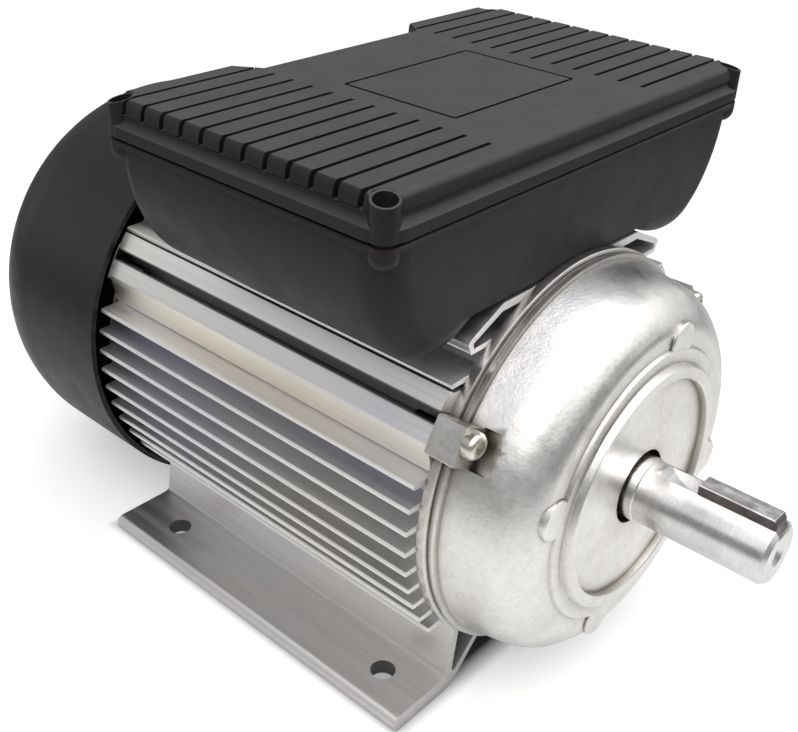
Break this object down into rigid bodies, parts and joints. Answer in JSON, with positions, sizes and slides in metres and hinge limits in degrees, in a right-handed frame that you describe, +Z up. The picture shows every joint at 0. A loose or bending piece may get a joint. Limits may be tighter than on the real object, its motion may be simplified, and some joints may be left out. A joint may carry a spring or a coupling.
{
  "type": "electric motor",
  "caption": "Foot-mounted electric motor with a finned aluminium frame, black fan cover, wide black terminal box on top and a keyed shaft at the drive end.",
  "frame": {"origin": "centre of the foot bolt pattern, on the plane the feet stand on", "axes": "+X along the shaft towards the drive end, +Z up, +Y to the left when facing along +X"},
  "size_m": [0.3579, 0.2054, 0.2176],
  "materials": {
    "frame_aluminium": "as extruded, satin",
    "cast_aluminium": "fine blasted casting",
    "screw_steel": "zinc plated",
    "shaft_steel": "turned and ground",
    "key_steel": "drawn bright",
    "bearing_steel": "polished",
    "rubber_seal": "matt",
    "electrical_steel": "varnished laminations",
    "rotor_aluminium": "die cast",
    "copper_winding": "enamelled copper",
    "cover_black": "satin black paint",
    "box_black": "fine texture",
    "lid_black": "fine texture",
    "fan_plastic": "moulded",
    "board_plastic": "moulded phenolic",
    "capacitor_case": "smooth",
    "stud_brass": "turned",
    "gland_plastic": "moulded",
    "lead_sleeve": "woven sleeve"
  },
  "bodies": {
    "housing": {"stator_frame": "frame_aluminium", "drive_end_shield": "cast_aluminium", "rear_end_shield": "cast_aluminium", "drive_end_screws": "screw_steel", "rear_end_screws": "screw_steel", "shaft_seal": "rubber_seal", "stator_core": "electrical_steel", "main_winding": "copper_winding", "start_winding": "copper_winding", "drive_bearing_outer_ring": "bearing_steel", "rear_bearing_outer_ring": "bearing_steel", "wave_washer": "key_steel", "start_switch_plate": "board_plastic", "start_switch_pin": "screw_steel", "start_switch_screws": "screw_steel", "fan_cover": "cover_black", "fan_cover_screws": "screw_steel", "terminal_box_base": "box_black", "box_base_gasket": "rubber_seal", "box_mounting_screws": "screw_steel", "lid_gasket": "rubber_seal", "terminal_box_lid": "lid_black", "lid_screws": "screw_steel", "start_capacitor": "capacitor_case", "run_capacitor": "capacitor_case", "capacitor_clamps": "screw_steel", "terminal_block": "board_plastic", "terminal_studs": "stud_brass", "terminal_nuts": "stud_brass", "terminal_links": "stud_brass", "terminal_block_screws": "screw_steel", "earth_screw": "screw_steel", "cable_gland_body": "gland_plastic", "cable_gland_nut": "gland_plastic", "cable_gland_locknut": "gland_plastic", "winding_leads": "lead_sleeve"},
    "rotor": {"shaft": "shaft_steel", "shaft_key": "key_steel", "rotor_core": "electrical_steel", "rotor_cage": "rotor_aluminium", "drive_bearing_inner_ring": "bearing_steel", "rear_bearing_inner_ring": "bearing_steel", "governor_hub": "key_steel", "governor_pins": "screw_steel", "governor_spring": "key_steel", "cooling_fan": "fan_plastic", "fan_circlip": "key_steel"},
    "drive_ball_set": {"drive_bearing_balls": "bearing_steel", "drive_bearing_cage": "bearing_steel"},
    "rear_ball_set": {"rear_bearing_balls": "bearing_steel", "rear_bearing_cage": "bearing_steel"},
    "governor_collar_body": {"governor_collar": "fan_plastic"},
    "weight_upper": {"governor_weight_upper": "key_steel"},
    "weight_lower": {"governor_weight_lower": "key_steel"},
    "switch_arm": {"start_switch_arm": "board_plastic"}
  },
  "joints": [
    {"name": "rotor_spin", "type": "hinge", "parent": "housing", "child": "rotor", "pos_m": [0, 0, 0.09], "axis": [1, 0, 0], "continuous": true},
    {"name": "drive_balls_spin", "type": "hinge", "parent": "housing", "child": "drive_ball_set", "pos_m": [0.106, 0, 0.09], "axis": [1, 0, 0], "continuous": true},
    {"name": "rear_balls_spin", "type": "hinge", "parent": "housing", "child": "rear_ball_set", "pos_m": [-0.1055, 0, 0.09], "axis": [1, 0, 0], "continuous": true},
    {"name": "governor_slide", "type": "slide", "parent": "rotor", "child": "governor_collar_body", "axis": [1, 0, 0], "range_m": [0, 0.003], "stiffness_N_per_m": 2000, "deforming": ["governor_spring"]},
    {"name": "weight_upper_swing", "type": "hinge", "parent": "rotor", "child": "weight_upper", "pos_m": [-0.084, 0, 0.12], "axis": [0, -1, 0], "range_deg": [0, 21]},
    {"name": "weight_lower_swing", "type": "hinge", "parent": "rotor", "child": "weight_lower", "pos_m": [-0.084, 0, 0.06], "axis": [0, 1, 0], "range_deg": [0, 21]},
    {"name": "switch_arm_swing", "type": "hinge", "parent": "housing", "child": "switch_arm", "pos_m": [-0.0926, 0, 0.1365], "axis": [0, -1, 0], "range_deg": [0, 7.2]}
  ],
  "couplings": [
    {"joint": "drive_balls_spin", "follows": "rotor_spin", "ratio": 0.3974},
    {"joint": "rear_balls_spin", "follows": "rotor_spin", "ratio": 0.3974},
    {"joint": "weight_upper_swing", "follows": "governor_slide", "rad_per_m": 120},
    {"joint": "weight_lower_swing", "follows": "governor_slide", "rad_per_m": 120},
    {"joint": "switch_arm_swing", "follows": "governor_slide", "rad_per_m": 40.8}
  ]
}
